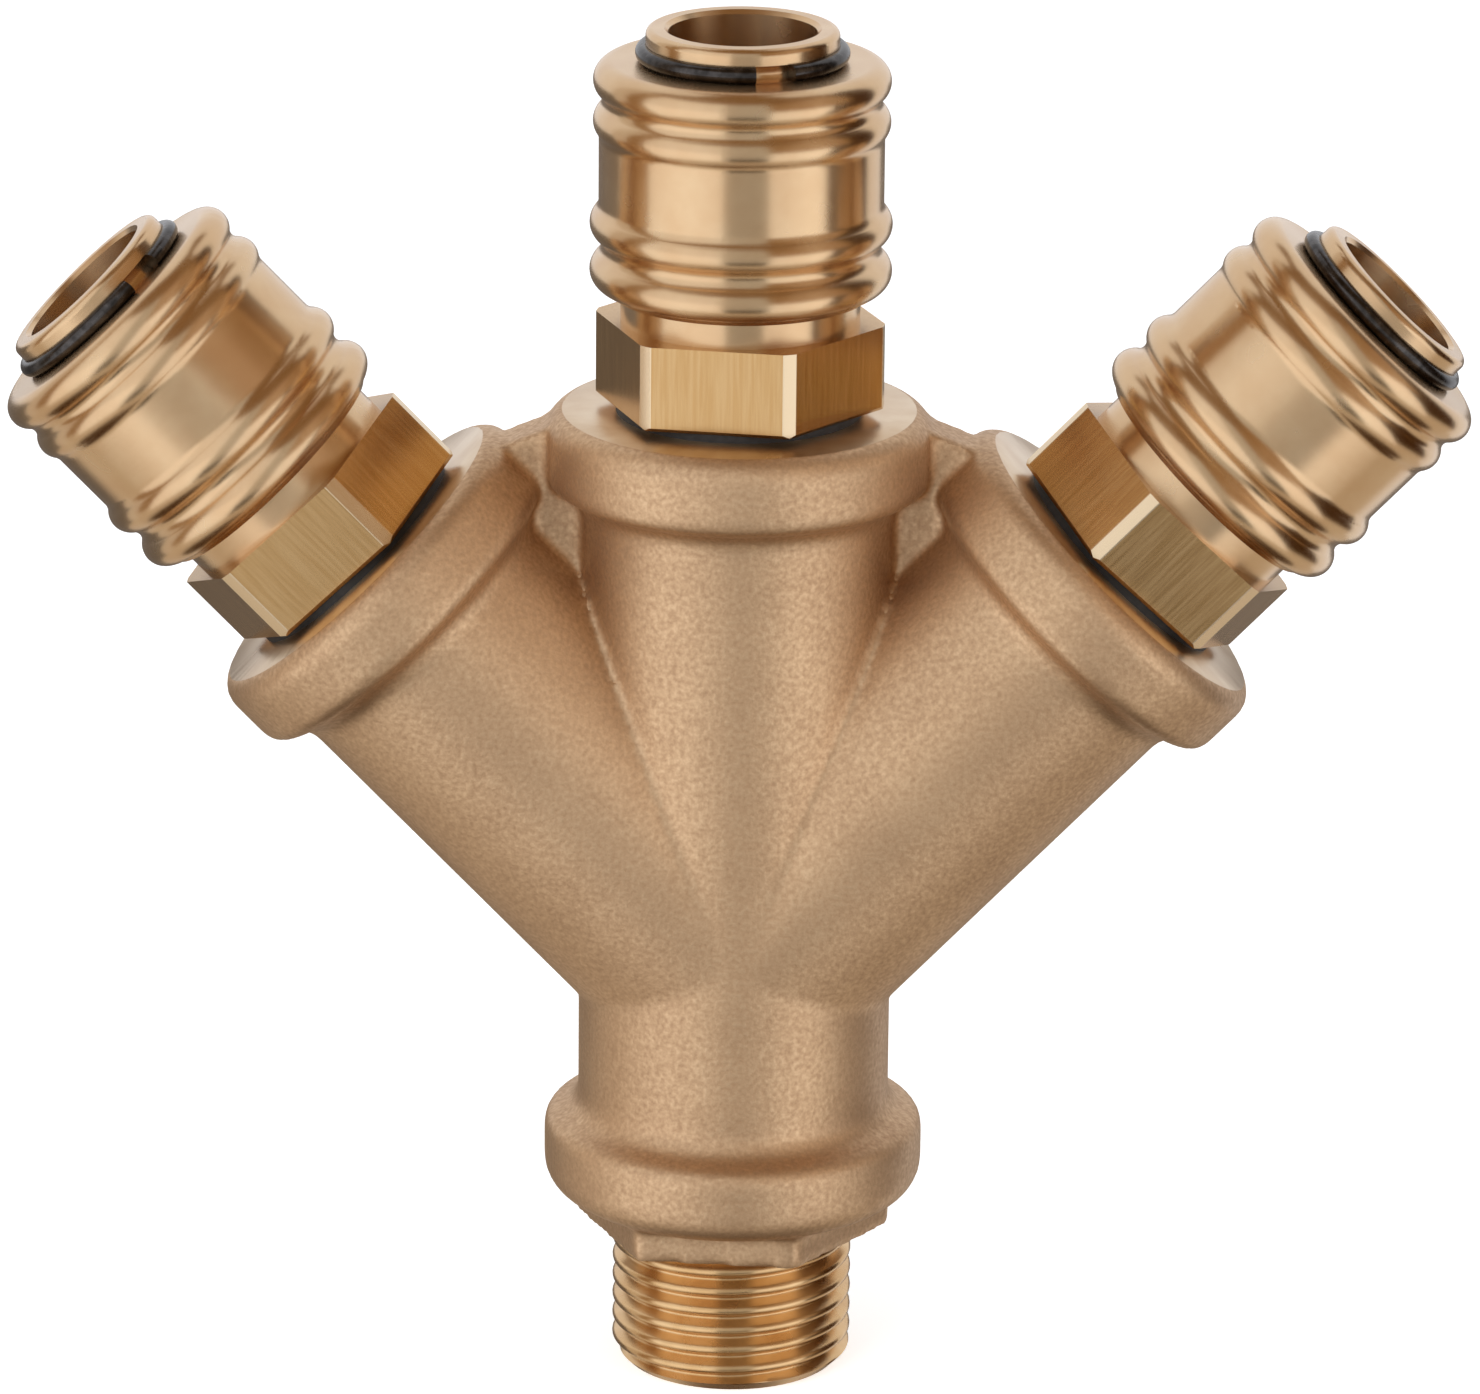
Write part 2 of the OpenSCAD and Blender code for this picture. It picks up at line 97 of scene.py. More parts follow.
# Springs: middle radius, wire, lower and upper seat above the outlet face, turns, travel of what they push
SLEEVE_SPRING = (9.24, 0.9, 13.5, 20.43, 4.5, 2.0)
VALVE_SPRING = (4.7, 0.8, 4.05, 12.19, 5.5, 2.6)

# Camera as found from the photo, in millimetres, degrees and photo pixels: a long lens that looks down
PHOTO_W = 1480
FOCAL_PX = 8491.28
CAMERA_EYE = (0.286, -695.863, 288.661)
CAMERA_DOWN = 18.144
CAMERA_ROLL = 0.549
SENSOR_W = 36

JUNCTION = Vector((0, 0, JUNCTION_H * MM))
UP = Vector((0, 0, 1))


def along_outlet(side):
    """From millimetres over an outlet's face, along its axis, to the row frame."""
    turn = Matrix.Rotation(math.radians(TILTS[side]), 4, "Y")
    rise = Matrix.Translation((0, 0, OUTLET_REACH * MM))
    return Matrix.Translation(JUNCTION) @ turn @ rise @ Matrix.Scale(MM, 4)


# Mesh helpers


def arc(r, z, radius, start, end, points):
    """Points of a rounding in a turned profile; angles in degrees, 0 outwards and 90 up."""
    angles = [math.radians(start + (end - start) * i / (points - 1)) for i in range(points)]
    return [(r + radius * math.cos(a), z + radius * math.sin(a)) for a in angles]


def turn_solid(profile, steps, matrix):
    """A closed solid turned from a profile of (radius, height) that starts and ends on the axis."""
    bm = bmesh.new()
    verts = [bm.verts.new((r, 0, z)) for r, z in profile]
    edges = [bm.edges.new(pair) for pair in zip(verts, verts[1:])]
    bmesh.ops.spin(bm, geom=verts + edges, cent=(0, 0, 0), axis=UP, dvec=(0, 0, 0), angle=math.tau,
                   steps=steps, use_merge=True)
    bmesh.ops.remove_doubles(bm, verts=bm.verts, dist=1e-4)
    bmesh.ops.transform(bm, matrix=matrix, verts=bm.verts)
    bmesh.ops.recalc_face_normals(bm, faces=bm.faces)
    return bm


def add_object(name, bm, material):
    mesh = bpy.data.meshes.new(name)
    bm.to_mesh(mesh)
    bm.free()
    mesh.materials.append(material)
    piece = bpy.data.objects.new(name, mesh)
    bpy.context.scene.collection.objects.link(piece)
    return piece


def settle(piece):
    """Makes the piece's modifiers part of its mesh."""
    shown = piece.evaluated_get(bpy.context.evaluated_depsgraph_get())
    mesh = bpy.data.meshes.new_from_object(shown)
    piece.modifiers.clear()
    old = piece.data
    piece.data = mesh
    bpy.data.meshes.remove(old)


def shade(piece, angle):
    """Smooth shading, with edges that turn by more than this many degrees kept sharp."""
    piece.data.shade_smooth()
    piece.data.set_sharp_from_angle(angle=math.radians(angle))


# Materials


def linear(text):
    """sRGB hex to a linear colour."""
    channels = [int(text[i:i + 2], 16) / 255 for i in (1, 3, 5)]
    return [c / 12.92 if c <= 0.04045 else ((c + 0.055) / 1.055) ** 2.4 for c in channels] + [1]


def per_mm(size):
    """Texture scale that gives features of this size in millimetres."""
    return 1 / (size * MM)


def feed(tree, made, inputs):
    """Sets a node's inputs; each is a value or another node's output."""
    for key, value in inputs.items():
        if isinstance(value, bpy.types.NodeSocket):
            tree.links.new(value, made.inputs[key])
        else:
            made.inputs[key].default_value = value


def node(tree, kind, inputs, stops=(), **settings):
    """Adds a node with its inputs and settings; the stops of a colour ramp are (place, sRGB hex)."""
    made = tree.nodes.new(kind)
    for key, value in settings.items():
        setattr(made, key, value)
    feed(tree, made, inputs)
    if stops:
        band = made.color_ramp.elements
        for end in (0, -1):
            band[end].position = stops[end][0]
            band[end].color = linear(stops[end][1])
        for place, colour in stops[1:-1]:
            band.new(place).color = linear(colour)
    return made


def new_material(name):
    material = bpy.data.materials.new(name)
    material.use_nodes = True
    tree = material.node_tree
    return material, tree, tree.nodes["Principled BSDF"]


def blasted_cast_brass():
    """Sand-cast brass, shot-blasted: matt and tan, with an even skin of tiny dents that sparkle a little."""
    material, tree, shader = new_material("blasted_cast_brass")
    place = node(tree, "ShaderNodeTexCoord", {}).outputs["Object"]
    # Shot dents are about 0.3 mm, drawn at 0.42 mm so that they show at the photo's size
    dents = node(tree, "ShaderNodeTexNoise", {"Vector": place, "Scale": per_mm(0.42), "Detail": 2.0,
                                              "Roughness": 0.5}).outputs["Fac"]
    # Faint cloudy tone of the casting's skin, 9 mm
    cloud = node(tree, "ShaderNodeTexNoise", {"Vector": place, "Scale": per_mm(9),
                                              "Detail": 2.0}).outputs["Fac"]
    tone = node(tree, "ShaderNodeMix", {"Factor": 0.3, "A": dents, "B": cloud}).outputs["Result"]
    colour = node(tree, "ShaderNodeValToRGB", {0: tone},
                  stops=((0.3, "#B59473"), (0.5, "#C6A582"), (0.7, "#D7B792"))).outputs["Color"]
    # The bottoms of the dents are duller than the skin between them
    rough = node(tree, "ShaderNodeMapRange", {"Value": dents, "From Min": 0.3, "From Max": 0.7,
                                              "To Min": 0.56, "To Max": 0.46}).outputs["Result"]
    bump = node(tree, "ShaderNodeBump", {"Strength": 0.3, "Distance": 0.1 * MM, "Height": dents})
    feed(tree, shader, {"Base Color": colour, "Roughness": rough, "Normal": bump.outputs["Normal"],
                        "Metallic": 1})
    return material


def about_axis(tree, side):
    """Object place, place about a coupling's own axis, distance from that axis, and the way round it."""
    tilt = math.radians(-TILTS[side])
    turn = Matrix.Rotation(tilt, 3, "Y")
    axis = turn.transposed() @ UP
    place = node(tree, "ShaderNodeTexCoord", {}).outputs["Object"]
    own = node(tree, "ShaderNodeMapping", {"Vector": place, "Location": turn @ -JUNCTION,
                                           "Rotation": Euler((0, tilt, 0))}).outputs[0]
    flat = node(tree, "ShaderNodeVectorMath", {0: own, 1: (1, 1, 0)}, operation="MULTIPLY").outputs[0]
    reach = node(tree, "ShaderNodeVectorMath", {0: flat}, operation="LENGTH").outputs["Value"]
    out = node(tree, "ShaderNodeVectorMath", {0: place, 1: JUNCTION}, operation="SUBTRACT").outputs[0]
    around = node(tree, "ShaderNodeVectorMath", {0: axis, 1: out}, operation="CROSS_PRODUCT").outputs[0]
    way = node(tree, "ShaderNodeVectorTransform", {0: around}, vector_type="VECTOR",
               convert_from="OBJECT", convert_to="WORLD").outputs[0]
    return place, own, reach, way


def turned_brass(name, side, roughness, pale, deep):
    """Brass fresh from the lathe: bright, with fine rings that draw highlights out along its axis."""
    material, tree, shader = new_material(name)
    place, own, reach, way = about_axis(tree, side)
    height = node(tree, "ShaderNodeSeparateXYZ", {0: own}).outputs["Z"]
    lathe = node(tree, "ShaderNodeCombineXYZ", {0: reach, 1: height}).outputs[0]
    # Tool marks are about 0.08 mm apart, drawn at 0.25 mm so that they show
    marks = node(tree, "ShaderNodeTexNoise", {"Vector": lathe, "Scale": per_mm(0.25), "Detail": 2.0},
                 noise_dimensions="2D").outputs["Fac"]
    # Faint handling film, 4 mm
    film = node(tree, "ShaderNodeTexNoise", {"Vector": place, "Scale": per_mm(4),
                                             "Detail": 3.0}).outputs["Fac"]
    colour = node(tree, "ShaderNodeValToRGB", {0: film}, stops=((0.35, deep), (0.65, pale))).outputs["Color"]
    polish, scuff = 0.02, 0.03
    rough = node(tree, "ShaderNodeMapRange", {"Value": film, "To Min": roughness - polish,
                                              "To Max": roughness + scuff}).outputs["Result"]
    bump = node(tree, "ShaderNodeBump", {"Strength": 0.12, "Distance": 0.02 * MM, "Height": marks})
    feed(tree, shader, {"Base Color": colour, "Roughness": rough, "Normal": bump.outputs["Normal"],
                        "Tangent": way, "Metallic": 1, "Anisotropic": 0.75, "Anisotropic Rotation": 0.25})
    return material


def hexagon_brass(name, side):
    """Drawn hexagon bar: golden flats with faint streaks along them, and pale turned corners, paler partly
    from their turned finish and partly as a painted highlight.
    """
    material, tree, shader = new_material(name)
    _, own, reach, way = about_axis(tree, side)
    # Die streaks: 0.3 mm wide and 20 times as long
    along = node(tree, "ShaderNodeMapping", {"Vector": own, "Scale": (1, 1, 1 / 20)}).outputs[0]
    streaks = node(tree, "ShaderNodeTexNoise", {"Vector": along, "Scale": per_mm(0.3),
                                                "Detail": 2.0}).outputs["Fac"]
    golden = node(tree, "ShaderNodeValToRGB", {0: streaks},
                  stops=((0.35, "#C69E69"), (0.65, "#CFAA77"))).outputs["Color"]
    # Corner lands are painted paler than the turned brass itself: partly their turned finish, partly a
    # painted highlight along each corner
    slack = 0.05
    corner = node(tree, "ShaderNodeMath", {0: reach, 1: (HEX_CORNER_R - slack) * MM},
                  operation="GREATER_THAN").outputs[0]
    colour = node(tree, "ShaderNodeMix", {"Factor": corner, "A": golden, "B": linear("#E3CBA8")},
                  data_type="RGBA").outputs["Result"]
    rough = node(tree, "ShaderNodeMapRange", {"Value": streaks, "To Min": 0.19,
                                              "To Max": 0.27}).outputs["Result"]
    feed(tree, shader, {"Base Color": colour, "Roughness": rough, "Tangent": way, "Metallic": 1,
                        "Anisotropic": 0.4})
    return material


def drawn_steel(name, roughness, pale, deep):
    """Oiled steel wire or ball: grey, with a fine streaky film."""
    material, tree, shader = new_material(name)
    place = node(tree, "ShaderNodeTexCoord", {}).outputs["Object"]
    # Oil film, 0.8 mm
    film = node(tree, "ShaderNodeTexNoise", {"Vector": place, "Scale": per_mm(0.8),
                                             "Detail": 3.0}).outputs["Fac"]
    colour = node(tree, "ShaderNodeValToRGB", {0: film}, stops=((0.35, deep), (0.65, pale))).outputs["Color"]
    polish, scuff = 0.04, 0.05
    rough = node(tree, "ShaderNodeMapRange", {"Value": film, "To Min": roughness - polish,
                                              "To Max": roughness + scuff}).outputs["Result"]
    feed(tree, shader, {"Base Color": colour, "Roughness": rough, "Metallic": 1})
    return material


def nitrile_rubber():
    """Moulded NBR: soft black with a dull, slightly dusty skin."""
    material, tree, shader = new_material("moulded_nitrile_rubber")
    place = node(tree, "ShaderNodeTexCoord", {}).outputs["Object"]
    # Specks of dust, 0.6 mm
    dust = node(tree, "ShaderNodeTexNoise", {"Vector": place, "Scale": per_mm(0.6),
                                             "Detail": 3.0}).outputs["Fac"]
    colour = node(tree, "ShaderNodeValToRGB", {0: dust},
                  stops=((0.4, "#161516"), (0.7, "#242325"))).outputs["Color"]
    bump = node(tree, "ShaderNodeBump", {"Strength": 0.2, "Distance": 0.02 * MM, "Height": dust})
    feed(tree, shader, {"Base Color": colour, "Normal": bump.outputs["Normal"], "Roughness": 0.58})
    return material


CAST = blasted_cast_brass()
BRIGHT = {side: turned_brass(f"turned_brass_{side}", side, 0.26, "#DABA92", "#D4B188") for side in TILTS}
HEXAGON = {side: hexagon_brass(f"drawn_hexagon_brass_{side}", side) for side in TILTS}
FACED = {side: turned_brass(f"faced_brass_{side}", side, 0.28, "#DCC3A2", "#CDAE88") for side in TILTS}
THREADED = turned_brass("cut_thread_brass", "middle", 0.27, "#E0BC8C", "#D0A876")
WIRE = drawn_steel("drawn_spring_steel", 0.26, "#55514F", "#3A3735")
POLISHED = drawn_steel("polished_ball_steel", 0.1, "#D4D3D2", "#C2C1C0")
RUBBER = nitrile_rubber()


# Casting


def collar_profile(tube_r, edge, height):
    """Outline from a collar's side to its tube: a rounding and a cove; heights fall from the face at 0."""
    rise = COLLAR_R - tube_r
    sweep = 2 * math.degrees(math.atan(rise / COLLAR_BLEND))
    both = COLLAR_BLEND / math.sin(math.radians(sweep))
    top_share = 0.4
    top = top_share * both
    cove = both - top
    return edge + arc(COLLAR_R - top, -height, top, 0, -sweep, points=7) + \
        arc(tube_r + cove, -height - COLLAR_BLEND, cove, 180 - sweep, 180, points=9)


def outlet_profile(tube_r):
    """A raw outlet stands 0.15 mm over its face, which is then cut flat."""
    raw = 0.15
    edge = arc(COLLAR_R - COLLAR_EDGE_R, raw - COLLAR_EDGE_R, COLLAR_EDGE_R, 90, 0, points=9)
    foot = [(tube_r, -OUTLET_REACH), (0, -OUTLET_REACH)]
    return collar_profile(tube_r, [(0, raw)] + edge, COLLAR_H) + foot


def inlet_profile():
    """The inlet's collar and neck, upside down."""
    edge = arc(COLLAR_R - INLET_EDGE_R, -INLET_EDGE_R, INLET_EDGE_R, 90, 0, points=9)
    depth = INLET_COLLAR_Z - JUNCTION_H
    return collar_profile(TUBE_R, [(0, 0)] + edge, INLET_COLLAR_H) + [(TUBE_R, depth), (0, depth)]


def low_hexagon():
    """The as-cast hexagon between the thread and the inlet's collar."""
    bm = bmesh.new()
    depth = INLET_COLLAR_Z - THREAD_L + INLET_EDGE_R
    corner = CAST_HEX_AF / math.sqrt(3) * MM
    place = Matrix.Translation((0, 0, (THREAD_L + depth / 2) * MM))
    turn = Matrix.Rotation(math.radians(CAST_HEX_TURN), 4, "Z")
    bmesh.ops.create_cone(bm, cap_ends=True, segments=6, radius1=corner, radius2=corner, depth=depth * MM,
                          matrix=place @ turn)
    return bm


def flat_web(tilt):
    """A flat web between two outlets."""
    bm = bmesh.new()
    turn = Matrix.Rotation(math.radians(tilt), 4, "Y")
    middle = Matrix.Translation((0, 0, (WEB_ROOT + WEB_TOP) / 2 * MM))
    size = Matrix.Diagonal((2 * WEB_HALF_W * MM, WEB_T * MM, (WEB_TOP - WEB_ROOT) * MM, 1))
    bmesh.ops.create_cube(bm, size=1, matrix=Matrix.Translation(JUNCTION) @ turn @ middle @ size)
    return bm


def soften(bm):
    """Cast edges and fillets: the skin is smoothed all over a little, and more on the low hexagon."""
    low = [v for v in bm.verts if v.co.z < INLET_COLLAR_Z * MM]
    for verts in (bm.verts[:], bm.verts[:], low, low):
        bmesh.ops.smooth_vert(bm, verts=verts, factor=0.5, use_axis_x=True, use_axis_y=True, use_axis_z=True)


def raw_casting():
    """The casting before machining: overlapping solids, skinned over and softened where they meet."""
    steps = 96
    flip = Matrix.Translation((0, 0, INLET_COLLAR_Z * MM)) @ Matrix.Diagonal((MM, MM, -MM, 1))
    shells = [turn_solid(outlet_profile(TUBE_R if side == "middle" else SIDE_TUBE_R), steps,
                         along_outlet(side)) for side in TILTS]
    shells += [turn_solid(inlet_profile(), steps, flip), low_hexagon()]
    shells += [flat_web(tilt) for tilt in WEB_TILTS]
    whole = bmesh.new()
    for shell in shells:
        part = bpy.data.meshes.new("shell")
        shell.to_mesh(part)
        shell.free()
        whole.from_mesh(part)
        bpy.data.meshes.remove(part)
    raw = add_object("casting", whole, CAST)
    skin = raw.modifiers.new("skin", "REMESH")
    skin.mode = "VOXEL"
    skin.voxel_size = SKIN_VOXEL * MM
    settle(raw)
    bm = bmesh.new()
    bm.from_mesh(raw.data)
    soften(bm)
    bm.to_mesh(raw.data)
    bm.free()
    return raw


def cut_thread():
    """The inlet's thread: one turn's outline, with rounded crest and roots, swept round and up."""
    bm = bmesh.new()
    root = THREAD_R - THREAD_DEPTH
    swing = 90 - THREAD_ANGLE / 2
    outline = arc(root + THREAD_ROOT_R, 0, THREAD_ROOT_R, 180, 180 - swing, points=4) \
        + arc(THREAD_R - THREAD_CREST_R, THREAD_PITCH / 2, THREAD_CREST_R, -swing, swing, points=9) \
        + arc(root + THREAD_ROOT_R, THREAD_PITCH, THREAD_ROOT_R, 180 + swing, 180, points=4)
    turns, steps, lead_in, bite = 10, 72, 2, 0.4
    verts = [bm.verts.new((r, 0, z - lead_in * THREAD_PITCH)) for r, z in outline]
    edges = [bm.edges.new(pair) for pair in zip(verts, verts[1:])]
    bmesh.ops.spin(bm, geom=verts + edges, cent=(0, 0, 0), axis=UP, dvec=(0, 0, THREAD_PITCH / steps),
                   angle=math.tau * turns, steps=steps * turns)
    bmesh.ops.remove_doubles(bm, verts=bm.verts, dist=1e-3)
    for height, way in ((0, -UP), (THREAD_L + bite, UP)):
        cut = bmesh.ops.bisect_plane(bm, geom=bm.verts[:] + bm.edges[:] + bm.faces[:],
                                     plane_co=(0, 0, height), plane_no=way, clear_outer=True)
        rim = [e for e in cut["geom_cut"] if isinstance(e, bmesh.types.BMEdge)]
        bmesh.ops.edgeloop_fill(bm, edges=rim)
    # Chamfer of 45 degrees at the thread's start
    for v in bm.verts:
        most = THREAD_R - THREAD_CHAMFER + v.co.z
        reach = v.co.xy.length
        if reach > most:
            v.co.xy *= most / reach
    bmesh.ops.recalc_face_normals(bm, faces=bm.faces)
    bmesh.ops.transform(bm, matrix=Matrix.Scale(MM, 4), verts=bm.verts)
    return add_object("thread", bm, THREADED)


def outlet_cutter(side):
    """Faces an outlet, bores it for the adapter's thread and drills its airway down to the junction."""
    over, past, short = 3, COLLAR_R + 4, 0.5 - OUTLET_REACH
    profile = [(0, over), (past, over), (past, 0), (OUTLET_BORE_R, 0), (OUTLET_BORE_R, -OUTLET_BORE_L),
               (PASSAGE_R, -OUTLET_BORE_L), (PASSAGE_R, short), (0, short)]
    return add_object("cutter", turn_solid(profile, 128, along_outlet(side)), FACED[side])


def inlet_cutter():
    """Bores the inlet up to the round chamber at the junction."""
    below = -1
    wall = math.degrees(math.asin(-math.sqrt(1 - (INLET_BORE_R / CHAMBER_R) ** 2)))
    chamber = arc(0, JUNCTION_H, CHAMBER_R, wall, 90, points=15)
    profile = [(0, below), (INLET_BORE_R, below)] + chamber
    return add_object("cutter", turn_solid(profile, 96, Matrix.Scale(MM, 4)), FACED["middle"])


def machined_casting():
    """Joins the thread, then cuts the outlet faces, their bores and the airways."""
    casting = raw_casting()
    tools = [("UNION", cut_thread())]
    tools += [("DIFFERENCE", outlet_cutter(side)) for side in TILTS]
    tools.append(("DIFFERENCE", inlet_cutter()))
    for operation, tool in tools:
        step = casting.modifiers.new("machining", "BOOLEAN")
        step.operation = operation
        step.solver = "MANIFOLD"
        step.material_mode = "TRANSFER"
        step.object = tool
        settle(casting)
    for _, tool in tools:
        bpy.data.objects.remove(tool)
    # Slivers that the cuts leave where they cross
    bm = bmesh.new()
    bm.from_mesh(casting.data)
    bmesh.ops.dissolve_degenerate(bm, edges=bm.edges, dist=SLIVER * MM)
    bm.to_mesh(casting.data)
    bm.free()
    shade(casting, angle=35)
    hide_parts("manifold_body")
    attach(casting, "distributor")


# Springs


def wound_spring(name, side, sizes):
    """Round wire with a closed turn at each end."""
    middle_r, wire, low, high, turns, travel = sizes
    sides, steps = 12, 40
    play = 0.02
    # Turns that lie on each other rise by hardly more than the wire
    closed = 1.04 * wire
    span = high - low - wire - 2 * play
    pitch = (span - 2 * closed) / (turns - 2)
    bm = bmesh.new()
    start = Matrix.Translation((middle_r, 0, low + wire / 2 + play)) @ Matrix.Rotation(math.pi / 2, 4, "X")
    bmesh.ops.create_circle(bm, segments=sides, radius=wire / 2, matrix=start)
    last = bm.verts[:] + bm.edges[:]
    for share, rise in ((1, closed), (turns - 2, pitch), (1, closed)):
        swept = bmesh.ops.spin(bm, geom=last, cent=(0, 0, 0), axis=UP, dvec=(0, 0, rise / steps),
                               angle=math.tau * share, steps=round(steps * share))
        last = [g for g in swept["geom_last"] if not isinstance(g, bmesh.types.BMFace)]
    bmesh.ops.holes_fill(bm, edges=[e for e in bm.edges if e.is_boundary], sides=sides)
    bmesh.ops.recalc_face_normals(bm, faces=bm.faces)
    place = along_outlet(side)
    bmesh.ops.transform(bm, matrix=place, verts=bm.verts)
    piece = add_object(f"{side}_wound_{name}", bm, WIRE)
    shade(piece, angle=50)
    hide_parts(f"{side}_{name}")
    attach(piece, "distributor")
    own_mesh(piece)


def dress(node_name, material):
    """Gives a piece of the frame its material."""
    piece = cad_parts[node_name]
    piece.data.materials.clear()
    piece.data.materials.append(material)


machined_casting()
for side in TILTS:
    wound_spring("sleeve_spring", side, SLEEVE_SPRING)
    wound_spring("valve_spring", side, VALVE_SPRING)
    dress(f"{side}_adapter", HEXAGON[side])
    for piece in ("barrel", "sleeve", "valve_poppet"):
        dress(f"{side}_{piece}", BRIGHT[side])
    for piece in ("thread_seal", "plug_seal", "valve_seal"):
        dress(f"{side}_{piece}", RUBBER)
    dress(f"{side}_retaining_ring", WIRE)
    for i in (1, 2, 3):
        dress(f"{side}_ball_{i}", POLISHED)


# Studio


def place_camera(scene):
    down, roll = math.radians(CAMERA_DOWN), math.radians(CAMERA_ROLL)
    ahead = Vector((0, math.cos(down), -math.sin(down)))
    above = Vector((0, math.sin(down), math.cos(down)))
    right = math.cos(roll) * Vector((1, 0, 0)) + math.sin(roll) * above
    turn = Matrix((right, right.cross(ahead), -ahead)).transposed().to_4x4()
    camera = bpy.data.objects.new("camera", bpy.data.cameras.new("camera"))
    camera.data.sensor_width = SENSOR_W
    camera.data.lens = FOCAL_PX * SENSOR_W / PHOTO_W
    camera.data.clip_start = 0.05
    camera.data.clip_end = 20
    camera.matrix_world = Matrix.Translation(Vector(CAMERA_EYE) * MM) @ turn
    scene.collection.objects.link(camera)
    scene.camera = camera


def light_world(scene):
    """White where the camera and reflections see it, dimmer as light."""
    world = bpy.data.worlds.new("studio")
    scene.world = world
    world.use_nodes = True
    tree = world.node_tree
    path = node(tree, "ShaderNodeLightPath", {}).outputs
    seen = node(tree, "ShaderNodeMath", {0: path["Is Camera Ray"], 1: path["Is Glossy Ray"]},
                operation="MAXIMUM").outputs[0]
    level = node(tree, "ShaderNodeMapRange", {"Value": seen, "To Min": 0.5, "To Max": 1.0}).outputs["Result"]
    feed(tree, tree.nodes["Background"], {"Color": (1, 1, 1, 1), "Strength": level})


def lay_floor():
    """Pale, and white to the eye apart from a soft shadow."""
    bm = bmesh.new()
    bmesh.ops.create_grid(bm, x_segments=1, y_segments=1, size=3)
    paint, tree, shader = new_material("pale_floor")
    path = node(tree, "ShaderNodeLightPath", {}).outputs
    lift = node(tree, "ShaderNodeMath", {0: path["Is Camera Ray"], 1: 0.55}, operation="MULTIPLY").outputs[0]
    feed(tree, shader, {"Base Color": (0.9, 0.9, 0.9, 1), "Roughness": 0.9, "Emission Color": (1, 1, 1, 1),
                        "Emission Strength": lift})
    floor = add_object("floor", bm, paint)
    floor.visible_glossy = False


def set_lamps(scene):
    """Two soft boxes in front, a gap between them, and a weak one overhead."""
    aim = Vector((0, 0, 0.06))
    # Azimuth in degrees from the camera, height, distance, width and length in metres, watts
    boxes = {"left_box": (-46, 0.3, 0.9, 0.8, 0.9, 6.0),
             "right_box": (60, 0.2, 0.9, 0.5, 0.7, 4.5),
             "top_box": (10, 1.0, 0.3, 0.7, 0.5, 0.8)}
    for name, (azimuth, height, distance, width, length, watts) in boxes.items():
        lamp = bpy.data.lights.new(name, "AREA")
        lamp.shape = "RECTANGLE"
        lamp.size = width
        lamp.size_y = length
        lamp.energy = watts
        box = bpy.data.objects.new(name, lamp)
        turn = math.radians(azimuth)
        box.location = (distance * math.sin(turn), -distance * math.cos(turn), height)
        box.rotation_euler = (aim - box.location).to_track_quat("-Z", "Y").to_euler()
        scene.collection.objects.link(box)


def glowing_paper(name, colour, strength):
    """Paper that shows one even tone wherever it is mirrored."""
    paper, tree, shader = new_material(f"{name}_paper")
    feed(tree, shader, {"Base Color": (0, 0, 0, 1), "Specular IOR Level": 0,
                        "Emission Color": linear(colour), "Emission Strength": strength})
    return paper


def swept_card(name, start, end, edge, paper):
    """A card swept round the upright axis between two azimuths; its edge is two points (reach, height)."""
    bm = bmesh.new()
    turn = math.radians(start)
    ends = [bm.verts.new((reach * math.sin(turn), -reach * math.cos(turn), z)) for reach, z in edge]
    line = bm.edges.new(ends)
    bmesh.ops.spin(bm, geom=ends + [line], cent=(0, 0, 0), axis=UP, dvec=(0, 0, 0),
                   angle=math.radians(end - start), steps=12)
    return add_object(name, bm, paper)


def round_card(name, height, reach, paper):
    """A level, round card about the upright axis."""
    bm = bmesh.new()
    bmesh.ops.create_circle(bm, cap_ends=True, segments=32, radius=reach,
                            matrix=Matrix.Translation((0, 0, height)))
    return add_object(name, bm, paper)


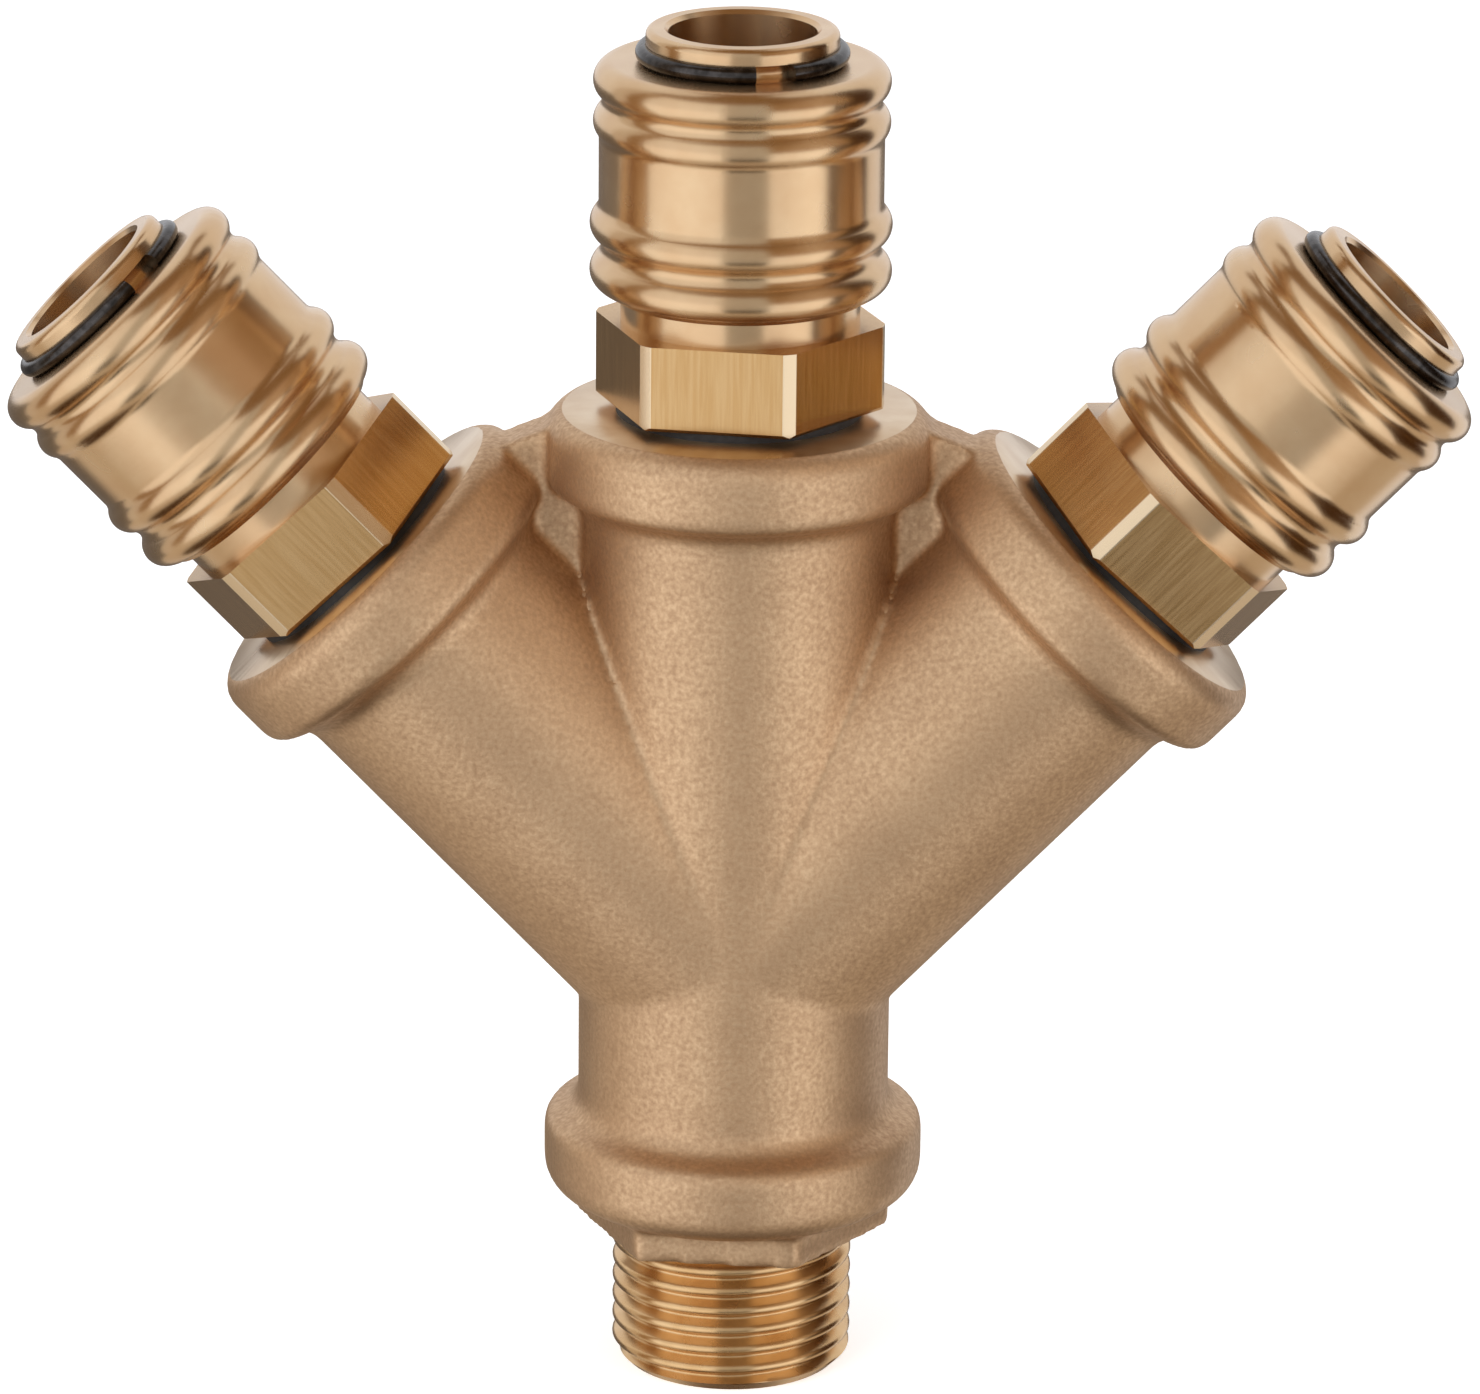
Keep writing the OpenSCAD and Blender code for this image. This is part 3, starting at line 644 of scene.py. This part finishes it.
def set_cards():
    """Paper cards all round the object, seen only in reflections: white beside the lens, darker elsewhere."""
    bright = glowing_paper("bright", "#F8FAFF", 1.25)
    white = glowing_paper("white", "#F8FAFF", 1.0)
    pale = glowing_paper("pale", "#EDE7E1", 0.85)
    tan = glowing_paper("tan", "#F4E9DA", 0.74)
    grey = glowing_paper("grey", "#FFFFFF", 0.56)
    dark = glowing_paper("dark", "#D8CFC8", 0.25)
    black = glowing_paper("black", "#C0B0A0", 0.06)
    brown = glowing_paper("brown", "#B79266", 0.75)
    amber = glowing_paper("amber", "#BC9260", 0.5)
    deep = glowing_paper("deep", "#A06A2C", 0.17)
    ring, ground, ceiling, lap = 0.6, -0.5, 0.8, 0.01
    # First and last azimuth in degrees from the lens, lower and upper edge in metres, paper
    walls = {"left_card": (-80, -14, ground, 0.12, bright),
             "upper_left_card": (-80, -14, 0.12, ceiling, white),
             "lens_card": (-14, 22, -0.2, ceiling, grey),
             "low_card": (-14, 22, ground, -0.2, black),
             "right_card": (22, 72, ground, 0.15, bright),
             "upper_right_card": (22, 92, 0.15, ceiling, brown),
             "right_side_card": (72, 120, -0.28, 0.15, deep),
             "upper_side_card": (92, 120, 0.15, ceiling, deep),
             "low_right_card": (72, 120, ground, -0.28, tan),
             "right_back_card": (120, 148, ground, ceiling, white),
             "back_card": (148, 244, 0.03, ceiling, white),
             "low_back_card": (148, 244, ground, 0.03, dark),
             "left_back_card": (244, 262, ground, ceiling, pale),
             "left_side_card": (262, 280, -0.28, ceiling, brown),
             "low_left_card": (262, 280, ground, -0.28, tan)}
    cards = [swept_card(name, start, end, ((ring, low), (ring, high)), paper)
             for name, (start, end, low, high, paper) in walls.items()]
    cards.append(round_card("ground_card", ground, ring, tan))
    # A dark disc where the object's own shadow lies on the floor: painted shade, mirrored in the undersides
    # of collars, beads and thread
    cards.append(round_card("foot_shade_card", ground + lap, 0.26, deep))
    cards.append(round_card("ceiling_card", ceiling, ring, amber))
    sky = ((0.22, ceiling - lap), (ring, ceiling - lap))
    cards.append(swept_card("left_sky_card", 198, 250, sky, white))
    cards.append(swept_card("right_sky_card", 110, 162, sky, white))
    for card in cards:
        card.visible_camera = False
        card.visible_diffuse = False
        card.visible_shadow = False
        card.visible_transmission = False


def studio():
    scene = bpy.context.scene
    scene.view_settings.view_transform = "Standard"
    place_camera(scene)
    light_world(scene)
    lay_floor()
    set_lamps(scene)
    set_cards()


studio()
